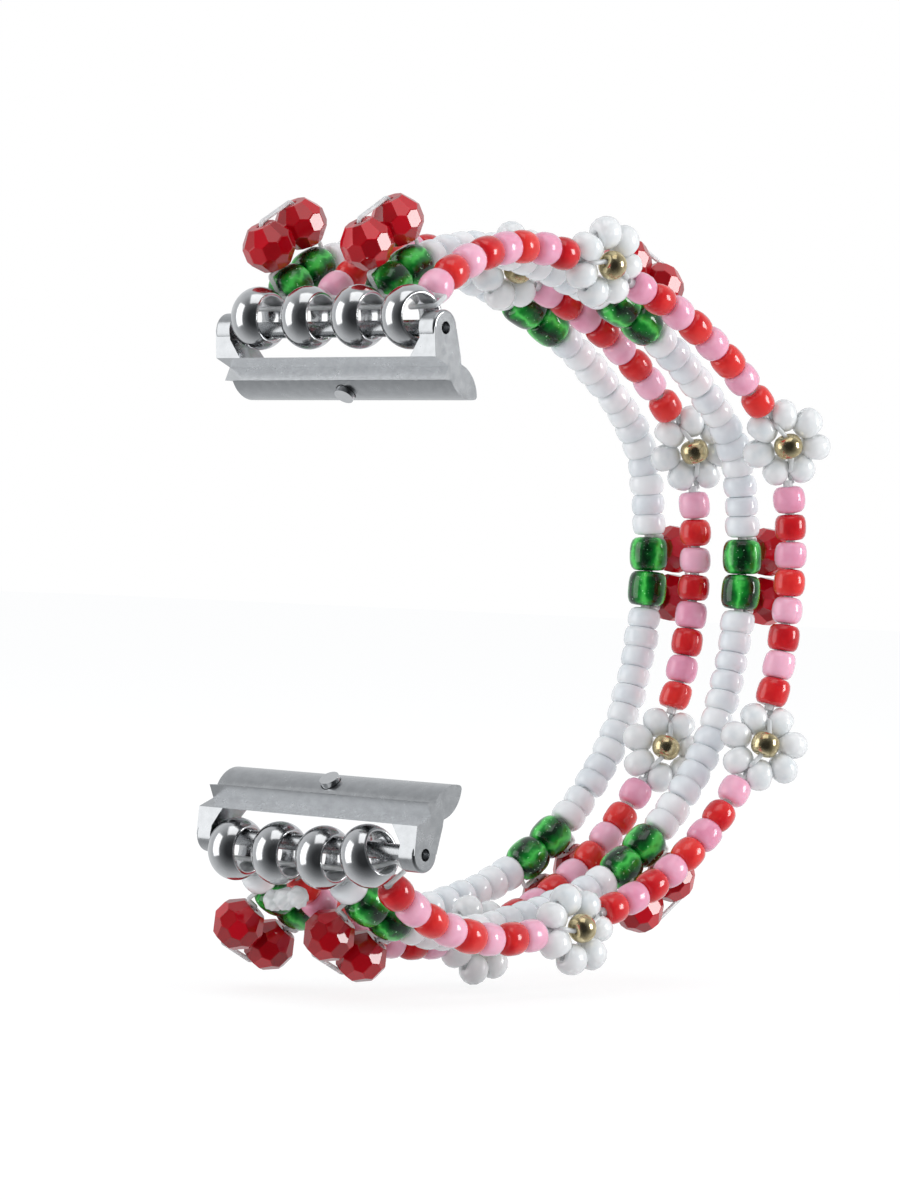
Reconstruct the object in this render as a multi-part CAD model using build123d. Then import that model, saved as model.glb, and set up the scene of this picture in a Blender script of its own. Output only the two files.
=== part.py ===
from build123d import *
import math
import os

# Bead band: four strands of glass beads on elastic cord, looped on steel rings, and a
# steel adapter at each end whose foot slides into a lug slot.
# X runs across the band, Y from its front to its back, Z up.  Lengths are millimetres
# and angles are degrees.  The origin is the centre of the top adapter's foot.

os.makedirs("parts", exist_ok=True)

# Adapters: a lens-shaped foot, a spine along it and two ears that hold the bar.
foot_spread = 35.9            # from the top foot's centre to the bottom foot's centre
foot_width = 4.8
foot_thickness = 2.4
foot_edge_radius = 0.35
foot_slant = 35               # the lens dips towards the back of the band
bar_forward = 2.6             # bar axis in front of the foot's centre
bar_rise = 4.4                # bar axis outward of the foot's centre
ear_gap = 21.7                # clear width between the ears
ear_thickness = 1.7
ear_radius = 1.55
ear_edge_radius = 0.25
flare_depth = 1.1             # how far each ear thickens inward at its root
flare_rise = 3.5              # height where the thickening starts
spine_rise = 1.9              # top of the spine between the ears
spine_width = 2.2
neck_width = 2.5

# Spring bar in each adapter: a tube, two sprung tips and the coil between them.
bar_radius = 0.725
bar_bore_radius = 0.6
bar_lip_length = 0.3
bar_lip_radius = 0.52
tip_radius = 0.47
tip_shoulder_radius = 0.56
tip_shoulder_length = 1.6
tip_reach = 0.9               # how far a tip stands in its ear
tip_travel = 0.95             # how far a tip is pushed in to free the bar
ear_hole_radius = 0.55
bar_spring_wire_radius = 0.1
bar_spring_radius = 0.44
bar_spring_turns = 20

# Lock stud in each foot: a sprung button that snaps into the slot.
stud_radius = 0.89
stud_flange_radius = 1.04
stud_flange_length = 0.3
stud_proud = 0.45
stud_travel = 0.45
stud_crown = 0.45             # thickness of the stud's closed end
stud_hollow_radius = 0.62
stud_bore_radius = 1.1
stud_bore_depth = 1.85
stud_lip_length = 0.4
stud_lip_radius = 0.95
lock_spring_wire_radius = 0.09
lock_spring_radius = 0.42
lock_spring_turns = 1.75

# Rings that join the strands to the bars.
ring_radius = 2.8
ring_bore_radius = 1.875
ring_width = 3.0
ring_rim = 0.28               # thickness left at the ring's two edges
top_ring_pitch = 5.78
bottom_ring_pitch = 5.1
bottom_ring_shift = -1.35     # the bottom rings have slid towards the left ear
turned_ring_yaw = 15          # the last top ring shows its bore to the front
tipped_ring_roll = 17         # the last bottom ring leans over

# Strands: the seed pitch sets the length of everything on a strand.
seed_pitch = 2.62
seed_diameter = 3.05
seed_length = 2.48
white_diameter = 3.2
white_length = 1.8
leaf_diameter = 3.8
leaf_length = 3.2
leaf_gap = 0.2                # between the two beads of a leaf pair
leaf_space = 0.46             # room for the thread at each end of a leaf pair
hole_radius = 0.55
seed_mouth_radius = 0.62
white_mouth_radius = 0.6
leaf_mouth_radius = 0.9
hinge_shift = 0.16            # beads at a flexing place stand this much off it
hinge_cord_gap = 0.4          # between the cords' ends at a flexing place
hinge_pitches = 1             # a bead less than this many pitches off is beside it
strand_pitch = 5.55
back_lean = 5.5               # the back of the loop stands this far to the right
low_strand = 1                # the second strand hangs lower than the others
low_strand_drop = 2.0         # this much at its last flower

# Flowers: petal beads round a metal bead.
petal_diameter = 2.9
petal_length = 1.84
petal_mouth_radius = 0.75
petal_circle_radius = 2.75
petals = 7
centre_diameter = 2.7
centre_length = 2.1
centre_raise = 1.15

# Cherries: two faceted beads on a thread loop at each leaf pair.
cherry_diameter = 4.7
cherry_height = 4.1
cherry_out = 4.2              # from the strand's centre line to a cherry's middle
cherry_hole_radius = 0.4
cherry_sides = 10
thread_radius = 0.13
thread_start = 0.64           # the thread leaves the bead stack this far out
thread_bend_radius = 0.2
thread_top_bend_radius = 0.45

# Elastic cord, doubled inside the beads and single where it loops a ring.
cord_radius = 0.45
loop_cord_radius = 0.22       # also where the cord splits inside a flower
loop_bend_radius = 0.32
flower_cord_bend_radius = 0.3

# Knot of the elastic under the second bottom ring: three lumps in a row.
knot_radius = 1.05
knot_end_radius = 0.95
knot_waist_radius = 0.78
knot_waist = 1.6              # from each end of the knot to its waist
knot_length = 5.0
knot_slant = 10               # its right end is the higher one
knot_side = 0.9               # its middle is this far to the right of the ring's

clearance = 0.05              # a part that only slides
gap = 0.08                    # parts of one body that nearly touch
cut_over = 1.0                # cuts run this far past what they cut

# Counts of the layout, in seed pitches along a strand.
strands = 4
runs = 5
run_beads = 8
flower_pitches = 3
total_pitches = runs * run_beads + (runs - 1) * flower_pitches
segments = [("top_end", 0, 6), ("top_side", 6, 18), ("back", 18, 34),
            ("bottom_side", 34, 46), ("bottom_end", 46, 52)]
white_beads_before = [0, 8, 8, 2, 3]      # in each segment, up to its leaf pair
white_beads_after = [4, 4, 10, 10, 1]
cherry_swings = [-5, 0, 0, 15, -36]       # each segment's cherries hang this far to the right
flower_twists = [74, 43, 43, 75]     # from facing the wrist towards facing right

# Along a strand bead runs and flowers take turns.  For each of these nine stretches:
# its share of the loop's whole turn, of the lean and of the second strand's drop, and
# the share of its arc that stays curved between straight ends.
turn_shares = [0.185, 0.025, 0.118, 0.138, 0.097, 0.063, 0.169, 0.020, 0.185]
lean_shares = [-0.14, 0.12, 0.50, 0.88, 1, 0.84, 0.44, 0.02, -0.32]
drop_shares = [0, 0, 0, 0, 0, 0, 0.4, 1, 0.5]
curved_share = 0.96
steepest_start = 80           # the search for the strands' first angle ends here
halvings = 50

# Sizes that follow.
ear_inner = ear_gap / 2
ear_outer = ear_inner + ear_thickness
foot_length = 2 * ear_outer
bar_point = Vector(0, -bar_forward, bar_rise)
ring_drop = ring_bore_radius - bar_radius - gap
lead = ring_radius + 2 * loop_cord_radius + gap / 2   # ring centre to the first bead
strand_span = foot_spread + 2 * (bar_rise + ring_drop)
stretches = 2 * runs - 1
stretch_pitches = [flower_pitches if number % 2 else run_beads for number in range(stretches)]
flower_places = [(number + 1) * (run_beads + flower_pitches) - flower_pitches / 2
                 for number in range(runs - 1)]
nodes = {}


def add(node, *solids):
    """Files solids under a node's name."""
    nodes.setdefault(node, []).extend(solids)


def rod(radius, start, end):
    """Round rod along X from one x to another."""
    return Location((start, 0, 0), (0, 90, 0)) * Cylinder(
        radius, end - start, align=(Align.CENTER, Align.CENTER, Align.MIN))


def post(radius, start, end):
    """Round rod along Z from one z to another."""
    return Pos(0, 0, start) * Cylinder(
        radius, end - start, align=(Align.CENTER, Align.CENTER, Align.MIN))


def tube(points, bends, radius):
    """Round cord along straight runs joined by tangent arcs."""
    path = FilletPolyline(*points, radius=bends)
    return sweep(Plane(path @ 0, z_dir=path % 0) * Circle(radius), path=path)


def bead(diameter, length, hole, mouth):
    """Bead with its hole along Z: flat mouths, and one arc round to its widest ring."""
    half = length / 2
    outline = [Line((hole, -half), (hole, half)), Line((hole, half), (mouth, half)),
               ThreePointArc((mouth, half), (diameter / 2, 0), (mouth, -half)),
               Line((mouth, -half), (hole, -half))]
    return revolve(make_face(Plane.XZ * Curve(outline)), Axis.Z)


def coil_turns(radius, wire, pitch, turns):
    """Spring wire as one tube about Z, each half turn two tangent arcs."""
    def at(turn):
        angle = 2 * math.pi * turn
        point = Vector(radius * math.cos(angle), radius * math.sin(angle), pitch * turn)
        slope = Vector(-math.sin(angle), math.cos(angle), pitch / (2 * math.pi * radius))
        return point, slope.normalized()

    edges = []
    steps = round(2 * turns)
    for step in range(steps):
        p0, t0 = at(turns * step / steps)
        p1, t1 = at(turns * (step + 1) / steps)
        both = (p1 - p0).dot(t0 + t1)
        spare = 2 * (1 - t0.dot(t1))
        reach = (math.sqrt(both ** 2 + spare * (p1 - p0).length ** 2) - both) / spare
        middle = (p0 + t0 * reach + p1 - t1 * reach) / 2
        edges.append(Edge.make_tangent_arc(p0, t0, middle))
        edges.append(Edge.make_tangent_arc(middle, p1 - t1 * reach - middle, p1))
    start, slope = at(0)
    return sweep(Plane(start, z_dir=slope) * Circle(wire), path=Wire(edges))


def faceted_bead(diameter, height, hole):
    """Faceted bead: five rings of corners, every other one turned half a side, joined
    by triangles, and a hole along Z.  Shares are of the half height and the radius."""
    ring_shares = [(-1, 0.5), (-0.5, 0.87), (0, 1), (0.5, 0.87), (1, 0.5)]
    rings = []
    for number, (height_share, radius_share) in enumerate(ring_shares):
        radius = radius_share * diameter / 2
        turn = number % 2 / 2
        angles = [2 * math.pi * (side + turn) / cherry_sides for side in range(cherry_sides)]
        rings.append([Vector(radius * math.cos(a), radius * math.sin(a),
                             height_share * height / 2) for a in angles])
    faces = [Face(Wire.make_polygon(rings[0])), Face(Wire.make_polygon(rings[-1]))]
    for number in range(len(rings) - 1):
        low, high = rings[number], rings[number + 1]
        for side in range(cherry_sides):
            after = (side + 1) % cherry_sides
            tip = side if number % 2 == 0 else after
            faces.append(Face(Wire.make_polygon([low[side], low[after], high[tip]])))
            foot = after if number % 2 == 0 else side
            faces.append(Face(Wire.make_polygon([high[side], high[after], low[foot]])))
    return Solid(Shell(faces)) - Cylinder(hole, height + cut_over)


def loop_corners(start_angle):
    """Corners of the loop in its own plane, as (y, z), and each arc's reach from its corner.

    Each stretch turns by its share, between its neighbours' ends."""
    whole_turn = math.radians(180 + 2 * start_angle)
    turns = [share * whole_turn for share in turn_shares]
    bends = [count * seed_pitch / turn for count, turn in zip(stretch_pitches, turns)]
    legs = [bend * math.tan(turn / 2) for bend, turn in zip(bends, turns)]
    heading = math.radians(start_angle)
    y, z = bar_point.Y, bar_point.Z + ring_drop
    corners = [(y, z)]
    for number in range(stretches + 1):
        before = lead if number == 0 else legs[number - 1]
        after = lead if number == stretches else legs[number]
        run = before + after
        y, z = y + run * math.cos(heading), z + run * math.sin(heading)
        corners.append((y, z))
        if number < stretches:
            heading -= turns[number]
    return corners, [leg * curved_share for leg in legs]


def solve_start_angle():
    """Angle of the strands where they leave the top rings, found by halving, so that
    the loop ends at the bottom rings."""
    low, high = 0, steepest_start
    for _ in range(halvings):
        middle = (low + high) / 2
        corners, _ = loop_corners(middle)
        if corners[0][1] - corners[-1][1] > strand_span:
            low = middle
        else:
            high = middle
    return middle


start_angle = solve_start_angle()
corners, reaches = loop_corners(start_angle)


def strand_x(strand, corner):
    """Across position of a strand at one of the route's corners, ends included."""
    place = strand - (strands - 1) / 2
    if corner == 0:
        return place * top_ring_pitch
    if corner == stretches + 1:
        return bottom_ring_shift + place * bottom_ring_pitch
    return lean_shares[corner - 1] * back_lean + place * strand_pitch


def strand_route(strand):
    """Line of a strand from its top ring's centre to its bottom ring's centre."""
    drops = [0] * len(corners)
    if strand == low_strand:
        drops[1:-1] = [low_strand_drop * share for share in drop_shares]
    points = [Vector(strand_x(strand, corner), y, z - drops[corner])
              for corner, (y, z) in enumerate(corners)]
    bends = []
    for number, reach in enumerate(reaches):
        before, here, after = points[number:number + 3]
        turn = math.radians((here - before).get_angle(after - here))
        bends.append(reach / math.tan(turn / 2))
    return FilletPolyline(*points, radius=bends)


routes = [strand_route(strand) for strand in range(strands)]


def pitch_of(strand):
    """Seed pitch along one strand: the strands differ a little in length."""
    return (routes[strand].length - 2 * lead) / total_pitches


def station(strand, pitches):
    """Frame on a strand: X across the band, Y towards the wrist, Z along the strand."""
    route = routes[strand]
    reach = lead + pitches * pitch_of(strand)
    here = route.position_at(reach, position_mode=PositionMode.LENGTH)
    along = route.tangent_at(reach, position_mode=PositionMode.LENGTH)
    across = (Vector(1, 0, 0) - along * along.X).normalized()
    return Plane(here, x_dir=across, z_dir=along)


def cord_between(strand, start, end):
    """Straight and curved length of the doubled cord between two places on a strand."""
    route = routes[strand].wire()
    pitch = pitch_of(strand)
    part = route.trim((lead + start * pitch) / route.length,
                      (lead + end * pitch) / route.length)
    return sweep(Plane(part @ 0, z_dir=part % 0) * Circle(cord_radius), path=part)


def flower_frame(strand, number):
    """Frame of a flower: Z along the strand, Y the way it faces.

    Half a turn about Y puts the flower's bulge on the side away from the wrist."""
    turned = Rot(0, 0, -flower_twists[number]) * Rot(0, 180, 0)
    return station(strand, flower_places[number]) * turned


def nudged(pitches, shift):
    """Moves a bead beside a flexing place off it, both in seed pitches."""
    for _, _, end in segments[:-1]:
        if abs(pitches - end) < hinge_pitches:
            return pitches + math.copysign(shift, pitches - end)
    return pitches


def segment_of(pitches):
    """Name of the segment that holds a place on a strand."""
    for name, start, end in segments:
        if start <= pitches < end:
            return name


# Adapter at the top.  The bottom one is its mirror image.
lens_plane = Plane((-foot_length / 2, 0, 0), x_dir=(0, math.cos(math.radians(foot_slant)),
                   -math.sin(math.radians(foot_slant))), z_dir=(1, 0, 0))
lens_outline = [ThreePointArc((-foot_width / 2, 0), (0, foot_thickness / 2), (foot_width / 2, 0)),
                ThreePointArc((foot_width / 2, 0), (0, -foot_thickness / 2), (-foot_width / 2, 0))]
foot = extrude(make_face(lens_plane * Curve(lens_outline)), foot_length, dir=(1, 0, 0))
foot = fillet(foot.edges().filter_by(Axis.X), foot_edge_radius)

# The spine and the ears' necks: a side outline along the whole foot, cut by the gap.
side_plane = Plane((-foot_length / 2, 0, 0), x_dir=(0, 1, 0), z_dir=(1, 0, 0))
lens_front = -foot_width / 2 * math.cos(math.radians(foot_slant))
neck_front = -bar_forward - ear_radius
side_points = [(neck_front + gap, bar_rise), (-bar_forward - neck_width / 2, spine_rise),
               (lens_front - gap, foot_thickness / 2), (-bar_forward, 0), (0, 0),
               (spine_width - bar_forward, spine_rise - gap),
               (spine_width - bar_forward, spine_rise + gap),
               (-bar_forward + ear_radius - gap, bar_rise)]
side_face = make_face(side_plane * Polyline(*side_points, close=True))
uprights = extrude(side_face, foot_length, dir=(1, 0, 0))
gap_plane = Plane((0, -foot_width - bar_forward, 0), x_dir=(1, 0, 0), z_dir=(0, 1, 0))
gap_top = -bar_rise - ear_radius - cut_over
gap_points = [(-ear_inner, gap_top), (-ear_inner, -flare_rise),
              (flare_depth - ear_inner, -spine_rise), (ear_inner - flare_depth, -spine_rise),
              (ear_inner, -flare_rise), (ear_inner, gap_top)]
gap_face = make_face(gap_plane * Polyline(*gap_points, close=True))
uprights -= extrude(gap_face, 2 * (foot_width + bar_forward), dir=(0, 1, 0))
adapter = foot + uprights
for side in (-1, 1):
    boss = rod(ear_radius, min(side * ear_inner, side * ear_outer),
               max(side * ear_inner, side * ear_outer))
    outer_rim = boss.edges().filter_by(GeomType.CIRCLE).sort_by(Axis.X)[0 if side < 0 else -1]
    adapter += Pos(bar_point) * fillet(outer_rim, ear_edge_radius)
adapter -= Pos(bar_point) * rod(ear_hole_radius, -ear_outer - cut_over, ear_outer + cut_over)

# The stud's bore opens on the foot's underside, which faces the other foot.
up = Vector(0, math.sin(math.radians(foot_slant)), math.cos(math.radians(foot_slant)))
stud_plane = Plane(up * (-foot_thickness / 2), x_dir=(1, 0, 0), z_dir=-up)
adapter -= stud_plane * post(stud_bore_radius, -stud_bore_depth, -stud_lip_length)
adapter -= stud_plane * post(stud_lip_radius, -stud_bore_depth, cut_over)

flange_top = -stud_lip_length - clearance
flange_foot = flange_top - stud_flange_length
stud = (post(stud_radius, flange_foot, stud_proud)
        + post(stud_flange_radius, flange_foot, flange_top)
        - post(stud_hollow_radius, flange_foot - cut_over, stud_proud - stud_crown))
lock_spring_length = (stud_bore_depth + stud_proud - stud_crown - stud_travel
                      - 2 * lock_spring_wire_radius - clearance)
lock_spring_pitch = lock_spring_length / lock_spring_turns
lock_spring = (Pos(0, 0, lock_spring_wire_radius - stud_bore_depth)
               * coil_turns(lock_spring_radius, lock_spring_wire_radius,
                            lock_spring_pitch, lock_spring_turns))

# Spring bar, built along X about its own axis.
bar_end = ear_inner - clearance
bar_inside = bar_end - bar_lip_length
bar_tube = (rod(bar_radius, -bar_end, bar_end) - rod(bar_bore_radius, -bar_inside, bar_inside)
            - rod(bar_lip_radius, -bar_end - cut_over, bar_end + cut_over))
shoulder_end = bar_inside - clearance
shoulder_start = shoulder_end - tip_shoulder_length
bar_tip = (rod(tip_shoulder_radius, shoulder_start, shoulder_end)
           + rod(tip_radius, shoulder_start, ear_inner + tip_reach))
bar_spring_length = 2 * (shoulder_start - tip_travel - bar_spring_wire_radius - clearance)
bar_spring_pitch = bar_spring_length / bar_spring_turns
bar_spring = (Location((-bar_spring_length / 2, 0, 0), (0, 90, 0))
              * coil_turns(bar_spring_radius, bar_spring_wire_radius,
                           bar_spring_pitch, bar_spring_turns))
print("bar spring gap", round(bar_spring_pitch - 2 * bar_spring_wire_radius, 3))
print("lock spring gap", round(lock_spring_pitch - 2 * lock_spring_wire_radius, 3))

top_pieces = {
    "adapter": adapter,
    "lock_stud": stud_plane * stud,
    "lock_spring": stud_plane * lock_spring,
    "bar_tube": Pos(bar_point) * bar_tube,
    "bar_spring": Pos(bar_point) * bar_spring,
    "bar_tip_right": Pos(bar_point) * bar_tip,
    "bar_tip_left": Pos(bar_point) * mirror(bar_tip, about=Plane.YZ),
}
for name, piece in top_pieces.items():
    add("top_" + name, piece)
    add("bottom_" + name, Pos(0, 0, -foot_spread) * mirror(piece, about=Plane.XY))

# Ring: flat bore and a domed outside that runs down to thin edges.
half_width = ring_width / 2
rim_radius = ring_bore_radius + ring_rim
ring_outline = [Line((-half_width, ring_bore_radius), (half_width, ring_bore_radius)),
                Line((half_width, ring_bore_radius), (half_width, rim_radius)),
                ThreePointArc((half_width, rim_radius), (0, ring_radius), (-half_width, rim_radius)),
                Line((-half_width, rim_radius), (-half_width, ring_bore_radius))]
ring = revolve(make_face(Plane.XY * Curve(ring_outline)), Axis.X)


def ring_frame(strand, end):
    """Frame of a strand's ring, X along its bore; the last one at each end is askew.

    An askew ring sits nearer its bar, because its bore still clears it."""
    outward = 1 if end == "top" else -1
    drop = ring_drop
    axis = Vector(1, 0, 0)
    if strand == strands - 1 and end == "top":
        angle = math.radians(turned_ring_yaw)
        sideways = half_width * math.tan(angle)
        drop = math.sqrt(ring_drop ** 2 - sideways ** 2)
        axis = Vector(math.cos(angle), -math.sin(angle), 0)
    if strand == strands - 1 and end == "bottom":
        angle = math.radians(tipped_ring_roll)
        drop = (ring_bore_radius * math.cos(angle) - half_width * math.sin(angle)
                - bar_radius - gap)
        axis = Vector(math.cos(angle), 0, math.sin(angle))
    bar_z = bar_rise if end == "top" else -foot_spread - bar_rise
    x = strand_x(strand, 0 if end == "top" else stretches + 1)
    along = Vector(axis.Y, -axis.X, 0) if axis.Z == 0 else Vector(0, 1, 0)
    return Plane((x, -bar_forward, bar_z + outward * drop), x_dir=axis, z_dir=axis.cross(along))


def ring_cord(strand, end):
    """Elastic loop round a ring's wall: two halves that meet inside the bore."""
    frame = ring_frame(strand, end)
    axis = frame.x_dir
    mouth_plane = station(strand, 0 if end == "top" else total_pitches)
    along = mouth_plane.z_dir if end == "top" else -mouth_plane.z_dir
    out = (along - axis * axis.dot(along)).normalized()
    mouth = mouth_plane.origin + along * gap
    beside = half_width + 2 * loop_cord_radius
    inside = ring_bore_radius - loop_cord_radius - 2 * gap
    halves = []
    for side in (-1, 1):
        points = [mouth, frame.origin + axis * (side * beside) + out * ring_radius,
                  frame.origin + axis * (side * beside) + out * inside,
                  frame.origin + out * inside]
        halves.append(tube(points, [loop_bend_radius, loop_bend_radius], loop_cord_radius))
    return halves[0] + halves[1]


for strand in range(strands):
    for end in ("top", "bottom"):
        add(end + "_rings", ring_frame(strand, end).location * ring)

# Flower in its own frame: Z along the strand, Y the way it faces.
petal_step = 360 / petals
junction_angle = petal_step / 4 if petals % 2 else 0
flower_shift = petal_circle_radius * math.sin(math.radians(junction_angle))
junction_reach = petal_circle_radius * math.cos(math.radians(junction_angle))
petal = bead(petal_diameter, petal_length, hole_radius, petal_mouth_radius)
flower_centre = (Pos(-flower_shift, centre_raise, 0)
                 * bead(centre_diameter, centre_length, hole_radius, petal_mouth_radius))
flower_petals = []
for number in range(petals):
    angle = junction_angle + (number + 0.5) * petal_step
    spot = Vector(petal_circle_radius * math.sin(math.radians(angle)) - flower_shift, 0,
                  petal_circle_radius * math.cos(math.radians(angle)))
    flower_petals.append(Location(spot, (0, 90 + angle, 0)) * petal)
petal_cord = (Location((-flower_shift, 0, 0), (90, 0, 0))
              * Torus(petal_circle_radius, loop_cord_radius))
thick_end = junction_reach + petal_mouth_radius
crossing = [(0, 0, -thick_end - cord_radius), (0, 0, -junction_reach),
            (-flower_shift / 4, centre_raise + gap, 2 * loop_cord_radius - junction_reach),
            (-flower_shift, centre_raise, -centre_length / 2 - gap)]
crossing += [(x, y, -z) for x, y, z in reversed(crossing)]
crossing_cord = tube(crossing, [flower_cord_bend_radius] * 6, loop_cord_radius)
flower_cord = petal_cord + crossing_cord
cord_into_flower = thick_end / seed_pitch

seed = bead(seed_diameter, seed_length, hole_radius, seed_mouth_radius)
white = bead(white_diameter, white_length, hole_radius, white_mouth_radius)
leaf = bead(leaf_diameter, leaf_length, hole_radius, leaf_mouth_radius)
cherry = faceted_bead(cherry_diameter, cherry_height, cherry_hole_radius)
cord_stop = hinge_cord_gap / 2 / seed_pitch

# Coral strands: runs of pink and red seed beads with a flower between them.
for strand in (1, 3):
    for run in range(runs):
        for number in range(run_beads):
            place = run * (run_beads + flower_pitches) + number + 0.5
            colour = "pink" if number % 2 == 0 else "red"
            spot = station(strand, nudged(place, hinge_shift / seed_pitch))
            add(segment_of(place) + "_" + colour + "_beads", spot * seed)
    for number, place in enumerate(flower_places):
        spot = flower_frame(strand, number)
        name = segment_of(place)
        add(name + "_petals", *[spot * one for one in flower_petals])
        add(name + "_flower_centres", spot * flower_centre)

# White strands: leaf pairs with cherries, and white seed beads between them.
group_length = 2 * (leaf_length + leaf_space)
for strand in (0, 2):
    side = "left" if strand == 0 else "right"
    for segment, before, after, swing in zip(segments, white_beads_before,
                                             white_beads_after, cherry_swings):
        name, start, end = segment
        pitch = pitch_of(strand)
        length = (end - start) * pitch
        white_pitch = (length - group_length) / (before + after)
        for number in range(before + after):
            reach = (number + 0.5) * white_pitch + (group_length if number >= before else 0)
            place = nudged(start + reach / pitch, hinge_shift / seed_pitch)
            add(name + "_white_beads", station(strand, place) * white)
        middle = start + (before * white_pitch + group_length / 2) / pitch
        for way in (-1, 1):
            place = middle + way * (leaf_length + leaf_gap) / 2 / pitch
            add(name + "_leaf_beads", station(strand, place) * leaf)
        spot = station(strand, middle)
        hung = Plane(spot * Rot(0, 0, swing))
        apart = (cherry_diameter + gap) / 2
        node = "cherries_" + name + "_" + side
        for way in (-1, 1):
            add(node, hung * (Location((0, -cherry_out, way * apart), (90, 0, 0)) * cherry))
        thread = []
        junction = (leaf_length + leaf_gap / 2 + group_length / 2) / 2 / pitch
        under = cherry_out - cherry_height / 2 - thread_radius
        over = cherry_out + cherry_height / 2 + thread_radius + gap
        for way in (-1, 1):
            exit_plane = Plane(station(strand, middle + way * junction) * Rot(0, 0, swing))
            outward = -exit_plane.y_dir
            corner = leaf_diameter / 2 + thread_radius + gap
            leg = [exit_plane.origin + outward * thread_start,
                   exit_plane.origin + outward * corner,
                   hung.from_local_coords((0, -under, way * apart)),
                   hung.from_local_coords((0, -over, way * apart))]
            thread.extend(leg if way < 0 else reversed(leg))
        bend_list = [thread_bend_radius, thread_bend_radius, thread_top_bend_radius,
                     thread_top_bend_radius, thread_bend_radius, thread_bend_radius]
        add(node, tube(thread, bend_list, thread_radius))
        print("joint", node, *[round(v, 4) for v in tuple(spot.origin) + tuple(spot.z_dir)])

# Cords: one doubled run of elastic through each strand's beads, segment by segment.
for strand in range(strands):
    for name, start, end in segments:
        stops = [start if start == 0 else start + cord_stop,
                 end if end == total_pitches else end - cord_stop]
        inner = [place for place in flower_places if start < place < end and strand % 2]
        for place in inner:
            stops += [place - cord_into_flower, place + cord_into_flower]
        stops.sort()
        cord = None
        for first, last in zip(stops[0::2], stops[1::2]):
            length = cord_between(strand, first, last)
            cord = length if cord is None else cord + length
        for place in inner:
            cord += flower_frame(strand, flower_places.index(place)) * flower_cord
        if start == 0:
            cord += ring_cord(strand, "top")
        if end == total_pitches:
            cord += ring_cord(strand, "bottom")
        add(name + "_cords", cord)

# Knot of the elastic under the second bottom ring, turned about its own length.
knot_half = knot_length / 2
waist_place = knot_half - knot_waist
lump_place = knot_half - knot_waist / 2
knot_outline = [Line((0, -knot_half), (loop_cord_radius, -knot_half)),
                ThreePointArc((loop_cord_radius, -knot_half), (knot_end_radius, -lump_place),
                              (knot_waist_radius, -waist_place)),
                ThreePointArc((knot_waist_radius, -waist_place), (knot_radius, 0),
                              (knot_waist_radius, waist_place)),
                ThreePointArc((knot_waist_radius, waist_place), (knot_end_radius, lump_place),
                              (loop_cord_radius, knot_half)),
                Line((loop_cord_radius, knot_half), (0, knot_half)),
                Line((0, knot_half), (0, -knot_half))]
knot = revolve(make_face(Plane.XZ * Curve(knot_outline)), Axis.Z)
knot_spot = ring_frame(1, "bottom").origin + Vector(
    knot_side, 0, -ring_radius - knot_radius - gap)
add("bottom_end_knot", Location(knot_spot, (0, 90 - knot_slant, 0)) * knot)

for name, _, end in segments[:-1]:
    places = [station(strand, end).origin for strand in range(strands)]
    places.sort(key=lambda place: place.Z)
    middle = (places[0] + places[-1]) / 2
    print("joint", name + "_flex", 0, round(middle.Y, 4), round(middle.Z, 4))
print("start angle", round(start_angle, 3), "strand lengths",
      [round(route.length, 2) for route in routes])

for name, solids in nodes.items():
    shape = solids[0] if len(solids) == 1 else Compound(children=solids)
    export_step(shape, "parts/" + name + ".step")
print(len(nodes), "nodes")
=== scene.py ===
import math

import bpy
import numpy as np
from mathutils import Matrix, Vector


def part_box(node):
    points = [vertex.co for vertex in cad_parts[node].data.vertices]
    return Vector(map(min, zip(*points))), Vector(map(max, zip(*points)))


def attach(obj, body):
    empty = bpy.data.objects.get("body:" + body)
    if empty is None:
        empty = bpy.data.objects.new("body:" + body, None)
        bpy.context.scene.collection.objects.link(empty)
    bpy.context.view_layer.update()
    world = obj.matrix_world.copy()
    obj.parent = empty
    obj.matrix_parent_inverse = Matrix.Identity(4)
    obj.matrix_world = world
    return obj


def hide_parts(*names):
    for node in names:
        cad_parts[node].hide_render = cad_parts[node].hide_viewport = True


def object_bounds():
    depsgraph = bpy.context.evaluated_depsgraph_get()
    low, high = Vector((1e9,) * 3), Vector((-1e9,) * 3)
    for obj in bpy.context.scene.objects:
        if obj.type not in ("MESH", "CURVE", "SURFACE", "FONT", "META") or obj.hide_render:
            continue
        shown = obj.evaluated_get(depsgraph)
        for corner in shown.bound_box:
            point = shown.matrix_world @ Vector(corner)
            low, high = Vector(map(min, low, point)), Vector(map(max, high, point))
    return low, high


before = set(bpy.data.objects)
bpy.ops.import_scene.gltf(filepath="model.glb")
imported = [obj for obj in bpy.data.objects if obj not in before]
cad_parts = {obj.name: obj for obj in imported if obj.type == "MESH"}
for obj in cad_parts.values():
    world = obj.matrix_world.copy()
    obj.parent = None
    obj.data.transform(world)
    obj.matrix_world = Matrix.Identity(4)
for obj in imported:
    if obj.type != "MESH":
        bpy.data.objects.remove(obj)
cad_box = [list(corner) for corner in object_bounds()]

scene = bpy.context.scene
scene.view_settings.view_transform = "Standard"


# Camera
# A long lens stands to the right of the band's front, level with the middle of the loop
# and rolled a little.  Its angles are in radians.

mm = 0.001                         # one millimetre in the frame's metres
camera_azimuth = 0.68246
camera_height_angle = 0.00622
camera_roll = 0.03862
camera_distance = 348.6 * mm
camera_aim = Vector((-4.22, 20.0, -18.79)) * mm
lens_length = 113.55
sensor_width = 36

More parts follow.
